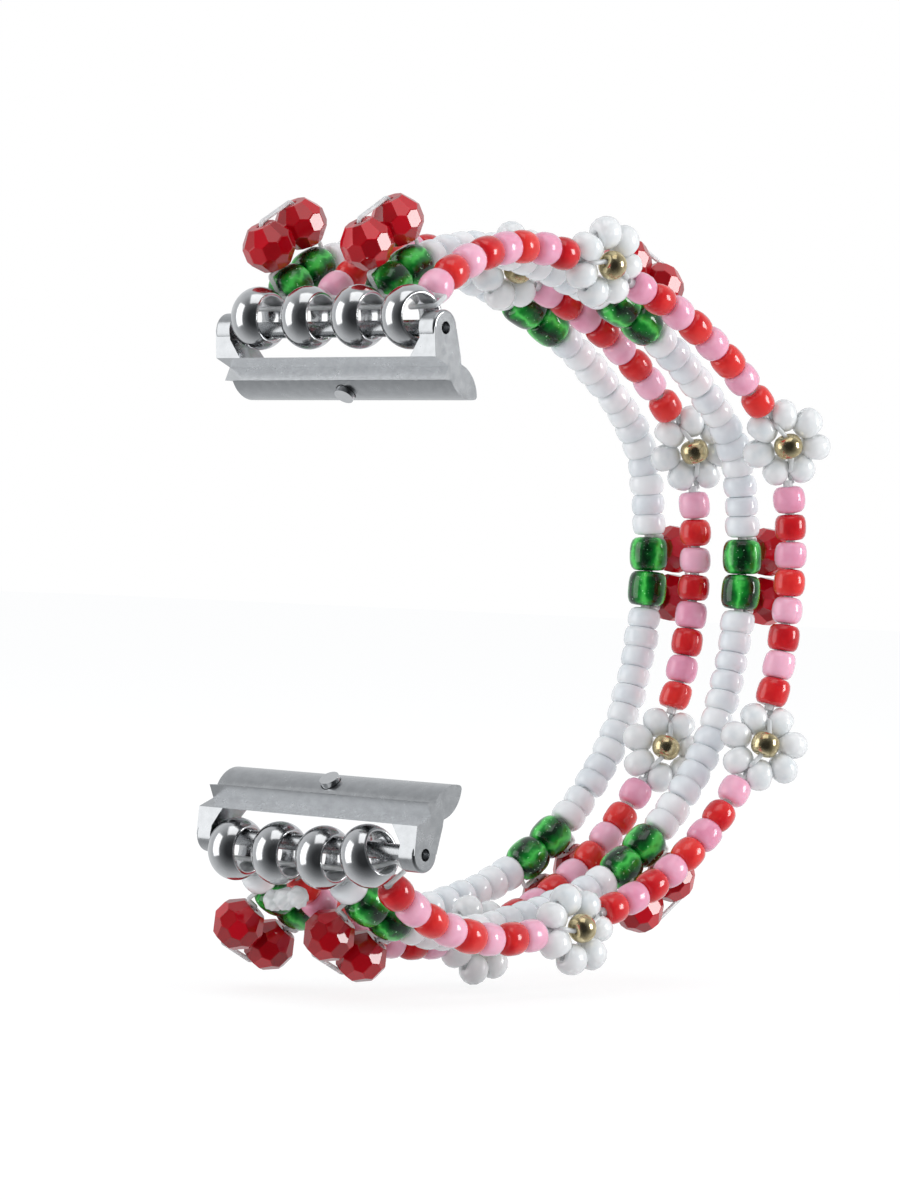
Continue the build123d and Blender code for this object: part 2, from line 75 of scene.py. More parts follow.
towards = Vector((math.sin(camera_azimuth) * math.cos(camera_height_angle),
                  -math.cos(camera_azimuth) * math.cos(camera_height_angle),
                  math.sin(camera_height_angle)))
level = (-towards).cross(Vector((0, 0, 1))).normalized()
upright = level.cross(-towards)
side = math.cos(camera_roll) * level + math.sin(camera_roll) * upright
up = math.cos(camera_roll) * upright - math.sin(camera_roll) * level
lens = bpy.data.cameras.new("camera")
lens.sensor_width = sensor_width
lens.lens = lens_length
lens.clip_start = 10 * mm
camera = bpy.data.objects.new("camera", lens)
camera.matrix_world = (Matrix.Translation(camera_aim + towards * camera_distance)
                       @ Matrix((side, up, towards)).transposed().to_4x4())
scene.collection.objects.link(camera)
scene.camera = camera


# Coral seed beads
# Opaque pink and red glass, cut from drawn tube and tumbled hot, so that each is a rounded
# barrel, a little uneven.  Two of the four strands are strung with them on doubled elastic.

seed_size = (3.02, 2.52)           # diameter and length, in mm as all bead sizes here
seed_mouth = 1.44                  # where the rounded end meets the flat rim of the hole
hole = 0.5
random = np.random.default_rng(7)
segments = ("top_end", "top_side", "back", "bottom_side", "bottom_end")
loop_middle = np.array([0, 20, -18]) * mm
weld = 0.0005 * mm                 # corners of the frame's meshes this close are one
hole_edge = 1.03                   # a hole's edges lie this near, with the nearest as 1


def linear(code):
    """Linear colour, with alpha, of an sRGB hex code: the sRGB curve undone."""
    shares = np.array([int(code[at:at + 2], 16) for at in (1, 3, 5)]) / 255
    low = shares / 12.92
    high = ((shares + 0.055) / 1.055) ** 2.4
    return (*np.where(shares <= 0.04045, low, high), 1)


def add(tree, kind, settings=None, stops=None):
    """Adds a node: a setting by name or number of a socket is a value or a link, and one
    in small letters is the node's own property."""
    node = tree.nodes.new("ShaderNode" + kind)
    for key, value in (settings or {}).items():
        if isinstance(key, str) and key.islower():
            setattr(node, key, value)
        elif isinstance(value, bpy.types.NodeSocket):
            tree.links.new(value, node.inputs[key])
        else:
            node.inputs[key].default_value = value
    for number, (place, code) in enumerate(stops or []):
        band = node.color_ramp.elements
        stop = band[number] if number < 2 else band.new(place)
        stop.position = place
        stop.color = linear(code)
    return node


def material(name):
    """Empty material with its node tree."""
    made = bpy.data.materials.new(name)
    made.use_nodes = True
    made.node_tree.nodes.clear()
    return made, made.node_tree


def surface(tree, shader):
    """Joins a shader to the material's output."""
    add(tree, "OutputMaterial", {"Surface": shader})


def solids_of(node):
    """Each solid in a node of the frame, largest first: its volume, its centre, its hole's
    axis, its triangles, and the corners that they count from.

    Triangles that share a corner get the same label.  Volume and centre are sums over the
    wedges from the origin to each triangle.  The axis is the direction in which the
    corners nearest to the centre, those of the hole's two edges, spread most."""
    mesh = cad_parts[node].data
    points = np.empty(len(mesh.vertices) * 3, np.float32)
    mesh.vertices.foreach_get("co", points)
    corners = np.empty(len(mesh.loops), np.int32)
    mesh.loops.foreach_get("vertex_index", corners)
    points = points.reshape(-1, 3).astype(float)
    whole, index = np.unique(np.round(points / weld).astype(np.int64), axis=0,
                             return_inverse=True)
    triangles = index.reshape(-1)[corners].reshape(-1, 3)
    spots = whole * weld
    label = np.arange(len(spots))
    while True:
        least = label[triangles].min(axis=1)
        after = label.copy()
        np.minimum.at(after, triangles, least[:, None])
        after = after[after]
        if (after == label).all():
            break
        label = after
    found = []
    for one in np.unique(label):
        own = triangles[label[triangles[:, 0]] == one]
        a, b, c = spots[own[:, 0]], spots[own[:, 1]], spots[own[:, 2]]
        volumes = (a * np.cross(b, c)).sum(axis=1) / 6
        centre = ((a + b + c) / 4 * volumes[:, None]).sum(axis=0) / volumes.sum()
        reach = spots[label == one] - centre
        far = np.linalg.norm(reach, axis=1)
        near = reach[far < far.min() * hole_edge]
        axis = np.linalg.eigh(near.T @ near)[1][:, -1]
        found.append((volumes.sum(), centre, axis, own, spots))
    found.sort(key=lambda solid: -solid[0])
    return found


def frames_of(solids):
    """Centres, and axes as columns: X away from the loop's middle, Z along the hole."""
    centres = np.array([solid[1] for solid in solids])
    along = np.array([solid[2] for solid in solids])
    out = (centres - loop_middle) * (0, 1, 1)
    out -= (out * along).sum(axis=1)[:, None] * along
    out /= np.linalg.norm(out, axis=1)[:, None]
    return centres, np.stack([out, np.cross(along, out), along], axis=2)


def barrel(points, square, size, mouth):
    """Closed outline of a bead as (radius, height): a hole, two rounded mouths, and the
    outside, a superellipse that stands on the mouths.  With s the height as a share of
    half the length, its radius over the mouth's is (1 - s ** square) ** (1 / square)."""
    share = np.sin(np.linspace(-1, 1, points) * math.pi / 2)
    over = (1 - np.abs(share) ** square) ** (1 / square)
    radius = mouth / 2 + (size[0] - mouth) / 2 * over
    height = share * size[1] / 2
    rim = (hole + mouth) / 4
    # The mouths' corners have their heights as shares of the length.
    mouths = np.array([[rim, 0.5], [hole / 2, 0.44], [hole / 2, -0.44], [rim, -0.5]])
    outline = np.column_stack([radius, height])
    return np.vstack([outline, mouths * (1, size[1])]) * mm


def turned(outline, sides):
    """A closed outline carried round Z: corners, then four-sided faces, both as arrays."""
    angles = np.arange(sides) * 2 * math.pi / sides
    spots = np.stack([outline[:, :1] * np.cos(angles), outline[:, :1] * np.sin(angles),
                      np.repeat(outline[:, 1:], sides, axis=1)], axis=2)
    row, column = np.meshgrid(np.arange(len(outline)), np.arange(sides), indexing="ij")
    below, beside = (row + 1) % len(outline), (column + 1) % sides
    faces = np.stack([row * sides + column, row * sides + beside,
                      below * sides + beside, below * sides + column], axis=2)
    return spots.reshape(-1, 3), faces.reshape(-1, 4)


def mesh_piece(name, spots, faces, smooth=True, marks=None):
    """Mesh object at the origin.  A mark is a number for each corner, or for each face."""
    mesh = bpy.data.meshes.new(name)
    mesh.from_pydata(np.asarray(spots).tolist(), [], [list(face) for face in faces])
    mesh.polygons.foreach_set("use_smooth", np.full(len(mesh.polygons), smooth))
    for mark, numbers in (marks or {}).items():
        domain = "POINT" if len(numbers) == len(mesh.vertices) else "FACE"
        layer = mesh.attributes.new(mark, "FLOAT", domain)
        layer.data.foreach_set("value", np.asarray(numbers, np.float32))
    mesh.update()
    piece = bpy.data.objects.new(name, mesh)
    scene.collection.objects.link(piece)
    return piece


def strung(node, name, size, mouth, sides=20, points=9, square=2.6, uneven=0.02,
           tilt=0.03, square_spread=0.15):
    """Beads at the places of a node's solids: one barrel outline for each, stretched and
    tipped by a small random share, with marks for its tone and for the turn round it."""
    centres, axes = frames_of(solids_of(node))
    spots, faces, tones, turns = [], [], [], []
    for number, (centre, frame_axes) in enumerate(zip(centres, axes)):
        stretch = 1 + random.normal(0, uneven, 2).clip(-2 * uneven, 2 * uneven)
        power = square * (1 + random.uniform(-square_spread, square_spread))
        outline = barrel(points, power, size, mouth) * stretch
        corners, quads = turned(outline, sides)
        lean = random.normal(0, tilt, 2).clip(-2 * tilt, 2 * tilt)
        corners[:, :2] += corners[:, 2:] * lean
        spots.append(corners @ frame_axes.T + centre)
        faces.append(quads + number * len(corners))
        tones.append(np.full(len(corners), random.random()))
        turns.append(np.tile(np.arange(sides) / sides, len(outline)))
    return mesh_piece(name, np.vstack(spots), np.vstack(faces), marks={
        "tone": np.concatenate(tones), "turn": np.concatenate(turns)})


def dress(piece, finish, body, node):
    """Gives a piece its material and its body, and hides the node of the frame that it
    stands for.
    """
    piece.data.materials.append(finish)
    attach(piece, body)
    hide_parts(node)


def tumbled_glass(name, dark, plain, light, depth, rough=0.16):
    """Dyed seed bead glass.  The colour differs from bead to bead and clouds within a bead,
    and light goes a little way in, so that edges glow.  Hot tumbling leaves a soft gloss
    with shallow dents under a smooth skin."""
    cloud_spacing, dent_spacing, dent_depth = 1.6 * mm, 0.5 * mm, 0.06 * mm
    made, tree = material(name)
    tone = add(tree, "Attribute", {"attribute_name": "tone"}).outputs["Fac"]
    place = add(tree, "TexCoord").outputs["Object"]
    cloud = add(tree, "TexNoise", {"Vector": place, "Scale": 1 / cloud_spacing,
                                   "Detail": 2.0})
    mixed = add(tree, "Math", {"operation": "MULTIPLY_ADD", 0: tone, 1: 0.55,
                               2: cloud.outputs["Fac"]})
    colour = add(tree, "ValToRGB", {"Fac": mixed.outputs[0]},
                 stops=[(0.32, dark), (0.95, light), (0.62, plain)])
    dent = add(tree, "TexNoise", {"Vector": place, "Scale": 1 / dent_spacing,
                                  "Detail": 2.0})
    bump = add(tree, "Bump", {"Height": dent.outputs["Fac"], "Strength": 0.12,
                              "Distance": dent_depth})
    shader = add(tree, "BsdfPrincipled", {
        "Base Color": colour.outputs["Color"], "Roughness": rough, "IOR": 1.52,
        "Subsurface Weight": 0.35, "Subsurface Scale": 1 * mm,
        "Subsurface Radius": depth, "Coat Weight": 0.5, "Coat Roughness": 0.05,
        "Normal": bump.outputs["Normal"]})
    surface(tree, shader.outputs[0])
    return made


red_glass = tumbled_glass("tumbled_opaque_red_glass", "#B5101A", "#CF1A22", "#E23430",
                          (1.0, 0.12, 0.1))
pink_glass = tumbled_glass("tumbled_opaque_pink_glass", "#E292AE", "#EBA3BE", "#F4B8CE",
                           (1.0, 0.5, 0.55))
for segment in segments:
    for colour, glass in (("red", red_glass), ("pink", pink_glass)):
        node = segment + "_" + colour + "_beads"
        dress(strung(node, segment + "_" + colour + "_seeds", seed_size, seed_mouth),
              glass, segment + "_strands", node)


# White seed beads
# Short beads of milky white glass, cut and tumbled like the coral ones but of less even
# length.  They fill the other two strands between the leaf beads.

white_size = (3.18, 1.98)
white_mouth = 2.1

milky_glass = tumbled_glass("tumbled_milky_white_glass", "#E0E6EB", "#ECF1F5", "#F7FAFC",
                            (1.0, 1.0, 1.0), 0.14)
for segment in segments:
    node = segment + "_white_beads"
    dress(strung(node, segment + "_white_seeds", white_size, white_mouth, points=7,
                 square=2.4, uneven=0.03, tilt=0.04),
          milky_glass, segment + "_strands", node)


# Leaf beads
# Larger barrels of clear green glass, two side by side at each pair of cherries, on the
# white strands.  They are drawn with a square hole that is lined with silver.

leaf_size = (3.78, 3.3)
leaf_mouth = 1.9
leaf_wander, leaf_glint_spacing = 1.2, 0.28     # spacings of the stripes' waves and of the painted glints
hole_sides = 4.0                   # each side of the square hole gives one painted stripe of the lining's light

# The reflections of the silver lining behind clear glass are painted into the colour as
# light and dark stripes along the bead, which wander a little, with a few painted glints.
leaf_glass, tree = material("silver_lined_green_glass")
turn = add(tree, "Attribute", {"attribute_name": "turn"}).outputs["Fac"]
tone = add(tree, "Attribute", {"attribute_name": "tone"}).outputs["Fac"]
place = add(tree, "TexCoord").outputs["Object"]
wander = add(tree, "TexNoise", {"Vector": place, "Scale": 1 / (leaf_wander * mm),
                                "Detail": 2.0})
shift = add(tree, "Math", {"operation": "MULTIPLY_ADD", 0: wander.outputs["Fac"], 1: 0.16,
                           2: turn})
shift = add(tree, "Math", {"operation": "MULTIPLY_ADD", 0: tone, 1: 0.25,
                           2: shift.outputs[0]})
sides_seen = add(tree, "Math", {"operation": "MULTIPLY", 0: shift.outputs[0],
                                1: hole_sides})
stripe = add(tree, "Math", {"operation": "PINGPONG", 0: sides_seen.outputs[0], 1: 0.5})
# Painted reflection: this ramp gives the lining's light and dark stripes over the glass's
# green.
green = add(tree, "ValToRGB", {"Fac": stripe.outputs[0]},
            stops=[(0.05, "#052810"), (0.47, "#4FD65A"), (0.18, "#0A5A20"),
                   (0.33, "#128A2C")])
glint_noise = add(tree, "TexNoise", {"Vector": place, "Scale": 1 / (leaf_glint_spacing * mm),
                               "Detail": 1.0})
# Painted glints: small near-white spots added to the colour where the noise is high.
painted_glint = add(tree, "ValToRGB", {"Fac": glint_noise.outputs["Fac"]},
            stops=[(0.7, "#000000"), (0.76, "#BFEFC6")])
colour = add(tree, "Mix", {"data_type": "RGBA", "blend_type": "ADD", 0: 0.6,
                           6: green.outputs["Color"], 7: painted_glint.outputs["Color"]})
shader = add(tree, "BsdfPrincipled", {
    "Base Color": colour.outputs[2], "Roughness": 0.1, "IOR": 1.52, "Coat Weight": 0.4,
    "Coat Roughness": 0.03})
surface(tree, shader.outputs[0])
for segment in segments:
    node = segment + "_leaf_beads"
    dress(strung(node, segment + "_leaves", leaf_size, leaf_mouth, sides=32, points=11,
                 square=2.8, uneven=0.01, tilt=0.01),
          leaf_glass, segment + "_strands", node)


# Flowers
# Seven petal beads of frosted glass stand on a ring of elastic, round one bead of
# champagne-coloured metal.  Four flowers interrupt each coral strand.

petal_size = (3.02, 2.36)
petal_mouth = 1.1
petal_cloud = 1.1                  # spacing of its milky clouds
centre_size = (2.7, 2.1)
centre_mouth = 1.1
centre_wear = 0.6                  # spacing of the worn spots

# Glass etched to a frost and then coated: light spreads inside it, and the coat gives a
# broad pearly gloss.
frosted_glass, tree = material("frosted_pearl_glass")
tone = add(tree, "Attribute", {"attribute_name": "tone"}).outputs["Fac"]
place = add(tree, "TexCoord").outputs["Object"]
cloud = add(tree, "TexNoise", {"Vector": place, "Scale": 1 / (petal_cloud * mm),
                               "Detail": 2.0})
mixed = add(tree, "Math", {"operation": "MULTIPLY_ADD", 0: tone, 1: 0.3,
                           2: cloud.outputs["Fac"]})
colour = add(tree, "ValToRGB", {"Fac": mixed.outputs[0]},
             stops=[(0.35, "#E8EEF1"), (0.85, "#FDFEFE"), (0.6, "#F4F7F8")])
shader = add(tree, "BsdfPrincipled", {
    "Base Color": colour.outputs["Color"], "Roughness": 0.24, "IOR": 1.5,
    "Subsurface Weight": 0.5, "Subsurface Scale": 1.2 * mm,
    "Subsurface Radius": (1.0, 1.0, 1.0), "Transmission Weight": 0.12,
    "Coat Weight": 1.0, "Coat Roughness": 0.1})
surface(tree, shader.outputs[0])

# Brass with a pale plating, tumbled bright and rubbed a little uneven by wear.
champagne, tree = material("champagne_plated_brass")
place = add(tree, "TexCoord").outputs["Object"]
wear = add(tree, "TexNoise", {"Vector": place, "Scale": 1 / (centre_wear * mm),
                              "Detail": 3.0})
colour = add(tree, "ValToRGB", {"Fac": wear.outputs["Fac"]},
             stops=[(0.35, "#C9B68A"), (0.65, "#EADBB0")])
rough = add(tree, "MapRange", {"Value": wear.outputs["Fac"], "To Min": 0.12, "To Max": 0.24})
shader = add(tree, "BsdfPrincipled", {"Base Color": colour.outputs["Color"],
                                      "Metallic": 1.0, "Roughness": rough.outputs[0]})
surface(tree, shader.outputs[0])
for segment in segments[1:4]:
    node = segment + "_petals"
    dress(strung(node, segment + "_flower_petals", petal_size, petal_mouth, square=2.05,
                 uneven=0.02, tilt=0.03),
          frosted_glass, segment + "_strands", node)
    node = segment + "_flower_centres"
    dress(strung(node, segment + "_flower_hearts", centre_size, centre_mouth, sides=32,
                 points=13, square=2.1, uneven=0.005, tilt=0.01),
          champagne, segment + "_strands", node)


# Cherries
# Red glass beads, cut in three belts of ten facets and fire-polished, which melts the
# facets' edges round.  A pair hangs at each leaf pair on a fine elastic thread.

cherry_sides = 10
cherry_size = (4.68, 4.08)
cherry_hole = 0.8
belt_slope = 38                    # degrees that the outer belts lean from upright
belt_reach = 2.2                   # distance of their facets from the bead's middle
cherry_cloud = 1.4                 # spacing of the darker clouds in the glass
melted_edge = 0.07                 # width of the rounding between two facets
thread_more = 0.07                 # the thread's skin stands out this far from its solid
elastic_cloud = 0.9                # spacing of the milky stretches of elastic
right_way = (0.86, 0.45, 0.2)      # towards the lamp on the right


def cut_bead():
    """Corners and faces of a faceted bead with its hole along Z.

    Three belts of planes bound it.  Two neighbours of the middle belt and one of an outer
    belt meet at the first height, one of the middle and two of an outer at the second."""
    slope = math.radians(belt_slope)
    half = cherry_size[1] / 2
    edge = cherry_size[0] / 2
    flat = edge * math.cos(math.pi / cherry_sides)
    first = (belt_reach - edge * math.cos(slope)) / math.sin(slope)
    second = (belt_reach - flat * math.cos(math.pi / cherry_sides) * math.cos(slope)
              ) / math.sin(slope)
    crown = (belt_reach - half * math.sin(slope)) / (
        math.cos(slope) * math.cos(math.pi / cherry_sides))
    lip = cherry_hole / 2
    # Each ring of corners: radius, height, and its turn in sides.
    rings = [(lip, -half, 0), (crown, -half, 0), (flat, -second, 0), (edge, -first, 0.5),
             (edge, first, 0.5), (flat, second, 0), (crown, half, 0), (lip, half, 0)]
    side_numbers = np.arange(cherry_sides)
    corners = []
    for radius, height, turn in rings:
        angles = (side_numbers + turn) * 2 * math.pi / cherry_sides
        corners.append(np.column_stack([radius * np.cos(angles), radius * np.sin(angles),
                                        np.full(cherry_sides, height)]))

    def at(ring, number):
        return ring * cherry_sides + number % cherry_sides

    faces = []
    for n in side_numbers:
        after, prior = n + 1, n - 1
        faces += [
            [at(0, n), at(1, n), at(1, after), at(0, after)][::-1],
            [at(1, n), at(1, after), at(2, after), at(3, n), at(2, n)],
            [at(2, n), at(3, n), at(4, n), at(5, n), at(4, prior), at(3, prior)],
            [at(5, n), at(4, n), at(5, after), at(6, after), at(6, n)],
            [at(6, n), at(6, after), at(7, after), at(7, n)],
            [at(7, n), at(7, after), at(0, after), at(0, n)]]
    return np.vstack(corners) * mm, faces


# Fire-polished facets are flat and clear as mirrors, over a deep red that clouds a little.
# Each facet's red is a little darker or lighter at random: painted internal reflection.
cherry_glass, tree = material("fire_polished_red_glass")
tone = add(tree, "Attribute", {"attribute_name": "tone"}).outputs["Fac"]
place = add(tree, "TexCoord").outputs["Object"]
cloud = add(tree, "TexNoise", {"Vector": place, "Scale": 1 / (cherry_cloud * mm),
                               "Detail": 2.0})
mixed = add(tree, "Math", {"operation": "MULTIPLY_ADD", 0: cloud.outputs["Fac"], 1: 0.3,
                           2: tone})
colour = add(tree, "ValToRGB", {"Fac": mixed.outputs[0]},
             stops=[(0.1, "#8A0310"), (1.0, "#C81022"), (0.45, "#A80614"),
                    (0.8, "#B8081A")])
shader = add(tree, "BsdfPrincipled", {
    "Base Color": colour.outputs["Color"], "Roughness": 0.04, "IOR": 1.56,
    "Specular IOR Level": 0.7, "Subsurface Weight": 0.12, "Subsurface Scale": 1 * mm,
    "Subsurface Radius": (1.0, 0.06, 0.06)})
surface(tree, shader.outputs[0])

# Drawn elastic polymer: milky where it is stretched, with the soft gloss of a die.
elastic, tree = material("drawn_clear_elastic")
place = add(tree, "TexCoord").outputs["Object"]
cloud = add(tree, "TexNoise", {"Vector": place, "Scale": 1 / (elastic_cloud * mm),
                               "Detail": 2.0})
colour = add(tree, "ValToRGB", {"Fac": cloud.outputs["Fac"]},
             stops=[(0.35, "#E6E9EA"), (0.65, "#FAFBFB")])
shader = add(tree, "BsdfPrincipled", {
    "Base Color": colour.outputs["Color"], "Roughness": 0.28, "IOR": 1.45,
    "Transmission Weight": 0.35, "Coat Weight": 0.4, "Coat Roughness": 0.1})
surface(tree, shader.outputs[0])

half_way = np.array(towards) + np.array(right_way) / np.linalg.norm(right_way)
half_way /= np.linalg.norm(half_way)
for segment in segments:
    for hand in ("left", "right"):
        node = "cherries_" + segment + "_" + hand
        # The two largest solids of the node are its beads, and the third is their thread.
        solids = solids_of(node)
        centres, axes = frames_of(solids[:2])
        spots, faces, tones = [], [], []
        count = 0
        for centre, frame_axes in zip(centres, axes):
            corners, cuts = cut_bead()
            # A bead is rolled on its thread until one facet mirrors the right lamp.
            glint = frame_axes.T @ half_way
            roll = math.atan2(glint[1], glint[0])
            if abs(math.degrees(math.asin(glint[2]))) > belt_slope / 2:
                roll += math.pi / cherry_sides
            turn = np.array([[math.cos(roll), -math.sin(roll), 0],
                             [math.sin(roll), math.cos(roll), 0], [0, 0, 1]])
            spots.append(corners @ turn.T @ frame_axes.T + centre)
            faces += [[corner + count for corner in cut] for cut in cuts]
            # Each facet gets a random tone, which paints internal reflection as a darker or
            # lighter red.
            tones.append(random.random(len(cuts)))
            count += len(corners)
        cherries = mesh_piece(node + "_beads", np.vstack(spots), faces, smooth=False,
                              marks={"tone": np.concatenate(tones)})
        soften = cherries.modifiers.new("melted_edges", "BEVEL")
        soften.width = melted_edge * mm
        soften.segments = 2
        soften.limit_method = "ANGLE"
        dress(cherries, cherry_glass, node, node)
        # The thread is its solid's skin, moved outwards along its corners' normals.
        _, _, _, own, whole = solids[2]
        used, small = np.unique(own, return_inverse=True)
        thread = mesh_piece(node + "_thread", whole[used], small.reshape(-1, 3))
        normals = np.empty(len(used) * 3, np.float32)
        thread.data.vertices.foreach_get("normal", normals)
        moved = whole[used] + normals.reshape(-1, 3) * thread_more * mm
        thread.data.vertices.foreach_set("co", moved.ravel())
        thread.data.update()
        dress(thread, elastic, node, node)


# Rings
# Steel rings, turned with a domed outside and polished to a mirror.  Four hang on each bar,
# and the elastic of one strand loops through each of them.

ring_size = (5.6, 3.0)             # outer diameter and width
ring_bore = 3.75
ring_rim = 0.28                    # from the bore to where the dome starts
ring_edge = 0.1                    # rounding of the rims, and the broken bore's length
bore_edge = 0.08                   # the broken bore's depth
dome_short = 0.04                  # the dome ends this far from the rims' flat faces
ring_sides = 72
haze_spacing, wave_spacing, wave_depth = 0.8, 1.5, 0.05     # left by the polishing


def ring_outline(points=17):
    """Closed outline of a ring as (radius, place along its axis): the outside is part of
    the circle through the rims and the crown, whose radius is (half width squared + rise
    squared) / (2 * rise), and the bore is straight with its ends broken."""
    half = ring_size[1] / 2
    rim = ring_bore / 2 + ring_rim
    crown = ring_size[0] / 2
    sag = crown - rim
    curve = (half ** 2 + sag ** 2) / (2 * sag)
    along = np.sin(np.linspace(-1, 1, points) * math.pi / 2) * (half - dome_short)
    outside = crown - curve + np.sqrt(curve ** 2 - along ** 2)
    bore = ring_bore / 2
    lip = np.array([[rim - ring_edge, half], [bore + bore_edge, half],
                    [bore, half - ring_edge], [bore, ring_edge - half],
                    [bore + bore_edge, -half], [rim - ring_edge, -half]])
    return np.vstack([np.column_stack([outside, along]), lip]) * mm


def polished_steel(name, dark, light, least_rough, most_rough):
    """Steel ground and buffed on a cloth wheel, which leaves it bright, hazy in places and
    faintly wavy."""
    made, tree = material(name)
    place = add(tree, "TexCoord").outputs["Object"]
    haze = add(tree, "TexNoise", {"Vector": place, "Scale": 1 / (haze_spacing * mm),
                                  "Detail": 3.0})
    rough = add(tree, "MapRange", {"Value": haze.outputs["Fac"], "To Min": least_rough,
                                   "To Max": most_rough})
    colour = add(tree, "ValToRGB", {"Fac": haze.outputs["Fac"]},
                 stops=[(0.3, dark), (0.7, light)])
    wave = add(tree, "TexNoise", {"Vector": place, "Scale": 1 / (wave_spacing * mm),
                                  "Detail": 1.0})
    bump = add(tree, "Bump", {"Height": wave.outputs["Fac"], "Strength": 0.05,
                              "Distance": wave_depth * mm})
    shader = add(tree, "BsdfPrincipled", {
        "Base Color": colour.outputs["Color"], "Metallic": 1.0,
        "Roughness": rough.outputs[0], "Normal": bump.outputs["Normal"]})
    surface(tree, shader.outputs[0])
    return made


mirror_steel = polished_steel("mirror_polished_steel", "#D6D7D9", "#DFE0E1", 0.11, 0.19)
for end in ("top", "bottom"):
    node = end + "_rings"
    centres, axes = frames_of(solids_of(node))
    spots, faces = [], []
    corners, quads = turned(ring_outline(), ring_sides)
    for number, (centre, frame_axes) in enumerate(zip(centres, axes)):
        spots.append(corners @ frame_axes.T + centre)
        faces.append(quads + number * len(corners))
    dress(mesh_piece(end + "_domed_rings", np.vstack(spots), np.vstack(faces)),
          mirror_steel, end + "_end_strands", node)


# Adapters, bars and lock studs
# The adapters are milled from steel and buffed to a satin gloss.  The bars' tubes, tips and
# springs are drawn or wound from spring steel.  All keep the frame's shapes.

grain_spacing = 0.25
satin_steel = polished_steel("satin_polished_steel", "#B4B6B8", "#C0C2C4", 0.22, 0.3)

# Drawn through a die and left so: an even, fine-grained grey gloss.
spring_steel, tree = material("drawn_spring_steel")
place = add(tree, "TexCoord").outputs["Object"]
grain = add(tree, "TexNoise", {"Vector": place, "Scale": 1 / (grain_spacing * mm),
                               "Detail": 2.0})
rough = add(tree, "MapRange", {"Value": grain.outputs["Fac"], "To Min": 0.2, "To Max": 0.34})
shader = add(tree, "BsdfPrincipled", {"Base Color": linear("#B4B6B8"), "Metallic": 1.0,
                                      "Roughness": rough.outputs[0]})
surface(tree, shader.outputs[0])
for end in ("top", "bottom"):
    for part, finish in (("adapter", satin_steel), ("lock_stud", mirror_steel),
                         ("bar_tube", spring_steel), ("bar_tip_left", spring_steel),
                         ("bar_tip_right", spring_steel), ("bar_spring", spring_steel),
                         ("lock_spring", spring_steel)):
        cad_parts[end + "_" + part].material_slots[0].material = finish


# Elastic and its knot
# Clear elastic runs doubled through all beads, with one loop round each ring.  It is
# knotted under the second bottom ring, where its trimmed ends make a milky lump.

knot_radius = 0.98
knot_length_share = 0.96           # of its node's box
knot_slope = math.radians(10)
knot_waist = 0.66                  # thickness between two lumps as a share of the lumps'
knot_lumps = 3
lump_roundness = 0.7
knot_folds = 7                     # wrinkles round the knot
fold_depth = 0.12                  # their share of its thickness
fold_twist, fold_break = 5, 9      # radians that they turn, and fade, over half its length

for segment in segments:
    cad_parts[segment + "_cords"].material_slots[0].material = elastic

# A tube round a straight axis.  Its radius is a product of three: lumps, which are a power
# of a cosine along it, a cap that closes both ends, and folds that wave round it.
low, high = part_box("bottom_end_knot")
length = (high.x - low.x) * knot_length_share
axis = np.array([math.cos(knot_slope), 0, math.sin(knot_slope)])
rows, columns = 41, 48
share = np.linspace(-1, 1, rows)[:, None]
angle = np.arange(columns)[None, :] * 2 * math.pi / columns
bulge = np.abs(np.cos(share * math.pi * knot_lumps / 2)) ** lump_roundness
lumps = knot_waist + (1 - knot_waist) * bulge
cap = np.sqrt(np.clip(1 - share ** 6, 0, 1))
wave = np.sin(knot_folds * angle + fold_twist * share) * np.cos(fold_break * share + angle)
folds = 1 + fold_depth * wave
radius = knot_radius * mm * lumps * cap * folds
across = np.array([0, 1, 0])
above = np.cross(axis, across)
middle = (np.array(low) + np.array(high)) / 2
spots = (middle + share[..., None] * length / 2 * axis
         + (radius * np.cos(angle))[..., None] * across
         + (radius * np.sin(angle))[..., None] * above)
row, column = np.meshgrid(np.arange(rows - 1), np.arange(columns), indexing="ij")
beside = (column + 1) % columns
faces = np.stack([row * columns + column, row * columns + beside,
                  (row + 1) * columns + beside, (row + 1) * columns + column], axis=2)
knot = mesh_piece("elastic_knot", spots.reshape(-1, 3), faces.reshape(-1, 4))
dress(knot, elastic, "bottom_end_strands", "bottom_end_knot")


# Studio
# The band lies above a sheet of white paper, which keeps its shadow, in a white room.  Two
# tall soft lamps stand left and right of the camera, and a weak one hangs above.

floor_gap = 0.2 * mm
floor_reach = 3.0
floor_front = -0.25                # it ends short of the camera
floor_glow = 0.75                  # share of its own white in what the camera sees
lamp_distance = 0.7

floor_z = cad_box[0][2] - floor_gap
floor_mesh = bpy.data.meshes.new("floor")
floor_mesh.from_pydata([(-floor_reach, floor_front, floor_z),
                        (floor_reach, floor_front, floor_z),
                        (floor_reach, floor_reach, floor_z),
                        (-floor_reach, floor_reach, floor_z)], [], [(0, 1, 2, 3)])
floor = bpy.data.objects.new("floor", floor_mesh)
scene.collection.objects.link(floor)

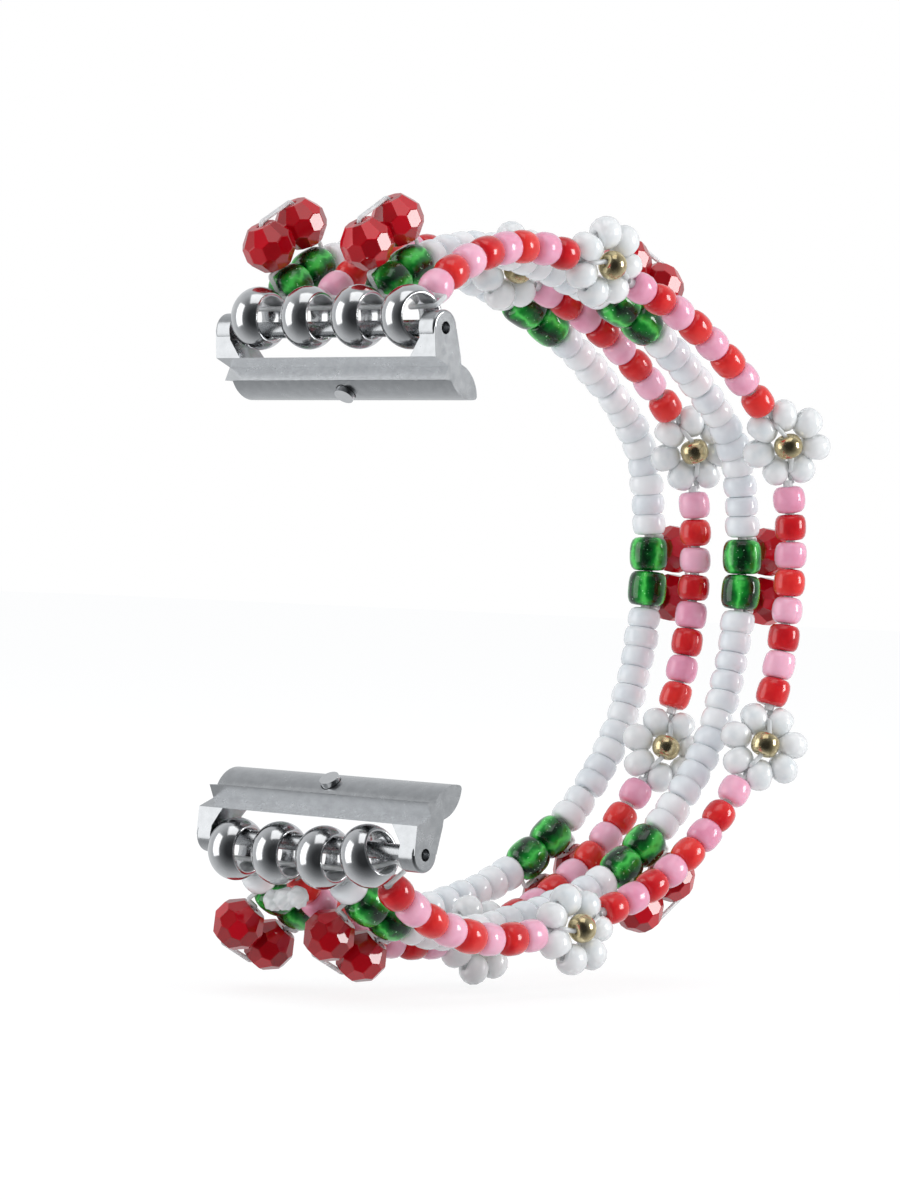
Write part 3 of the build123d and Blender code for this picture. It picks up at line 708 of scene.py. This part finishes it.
# Matt paper.  Reflections look past it, so that no horizon shows in the steel.
paper, tree = material("matt_white_paper")
ray = add(tree, "LightPath")
seen = add(tree, "Math", {"operation": "MAXIMUM", 0: ray.outputs["Is Camera Ray"],
                          1: ray.outputs["Is Transmission Ray"]})
glow = add(tree, "Math", {"operation": "MULTIPLY", 0: seen.outputs[0], 1: floor_glow})
matte = add(tree, "BsdfDiffuse", {"Color": linear("#F4F4F4")})
light = add(tree, "Emission", {"Color": linear("#FFFFFF"), "Strength": 1.1})
both = add(tree, "MixShader", {0: glow.outputs[0], 1: matte.outputs[0],
                               2: light.outputs[0]})
clear = add(tree, "BsdfTransparent")
both = add(tree, "MixShader", {0: ray.outputs["Is Glossy Ray"], 1: both.outputs[0],
                               2: clear.outputs[0]})
surface(tree, both.outputs[0])
floor_mesh.materials.append(paper)

# The camera sees white, and matt surfaces get an even light from all round.
world = bpy.data.worlds.new("studio")
scene.world = world
world.use_nodes = True
tree = world.node_tree
tree.nodes.clear()
ray = add(tree, "LightPath")
seen = add(tree, "Math", {"operation": "MAXIMUM", 0: ray.outputs["Is Camera Ray"],
                          1: ray.outputs["Is Transmission Ray"]})
way = add(tree, "TexCoord").outputs["Generated"]
# What reflections see of the room is pale behind the band and dark round the camera.
facing = add(tree, "VectorMath", {"operation": "DOT_PRODUCT", 0: way, 1: towards})
share = add(tree, "MapRange", {"Value": facing.outputs["Value"], "From Min": -1.0})
room = add(tree, "ValToRGB", {"Fac": share.outputs[0]},
           stops=[(0.05, "#DEE0E2"), (0.95, "#303133"), (0.45, "#B8BABC"),
                  (0.72, "#7A7C7E")])
dark_room = add(tree, "Background", {"Color": room.outputs["Color"]}).outputs[0]
fill = add(tree, "Background", {"Color": linear("#DDE0E3"), "Strength": 0.95}).outputs[0]
studio = add(tree, "MixShader", {0: ray.outputs["Is Glossy Ray"], 1: fill, 2: dark_room})
white = add(tree, "Background", {"Color": linear("#FFFFFF"), "Strength": 1.0})
both = add(tree, "MixShader", {0: seen.outputs[0], 1: studio.outputs[0],
                               2: white.outputs[0]})
add(tree, "OutputWorld", {"Surface": both.outputs[0]})


def soft_lamp(name, direction, size, share):
    """Rectangular lamp that lights a white sheet at the band to this share of white: its
    power is the share times (pi * distance) squared."""
    data = bpy.data.lights.new(name, "AREA")
    data.shape = "RECTANGLE"
    data.size, data.size_y = size
    data.energy = share * (math.pi * lamp_distance) ** 2
    lamp = bpy.data.objects.new(name, data)
    from_band = Vector(direction).normalized() * lamp_distance
    lamp.location = Vector(loop_middle) + from_band
    lamp.rotation_euler = (-from_band).to_track_quat("-Z", "Y").to_euler()
    scene.collection.objects.link(lamp)


soft_lamp("left_box", (-0.62, -0.78, 0.15), (0.46, 0.8), 0.34)
soft_lamp("right_box", right_way, (0.22, 0.32), 0.4)
soft_lamp("top_box", (0.2, -0.3, 1.0), (0.5, 0.5), 0.16)
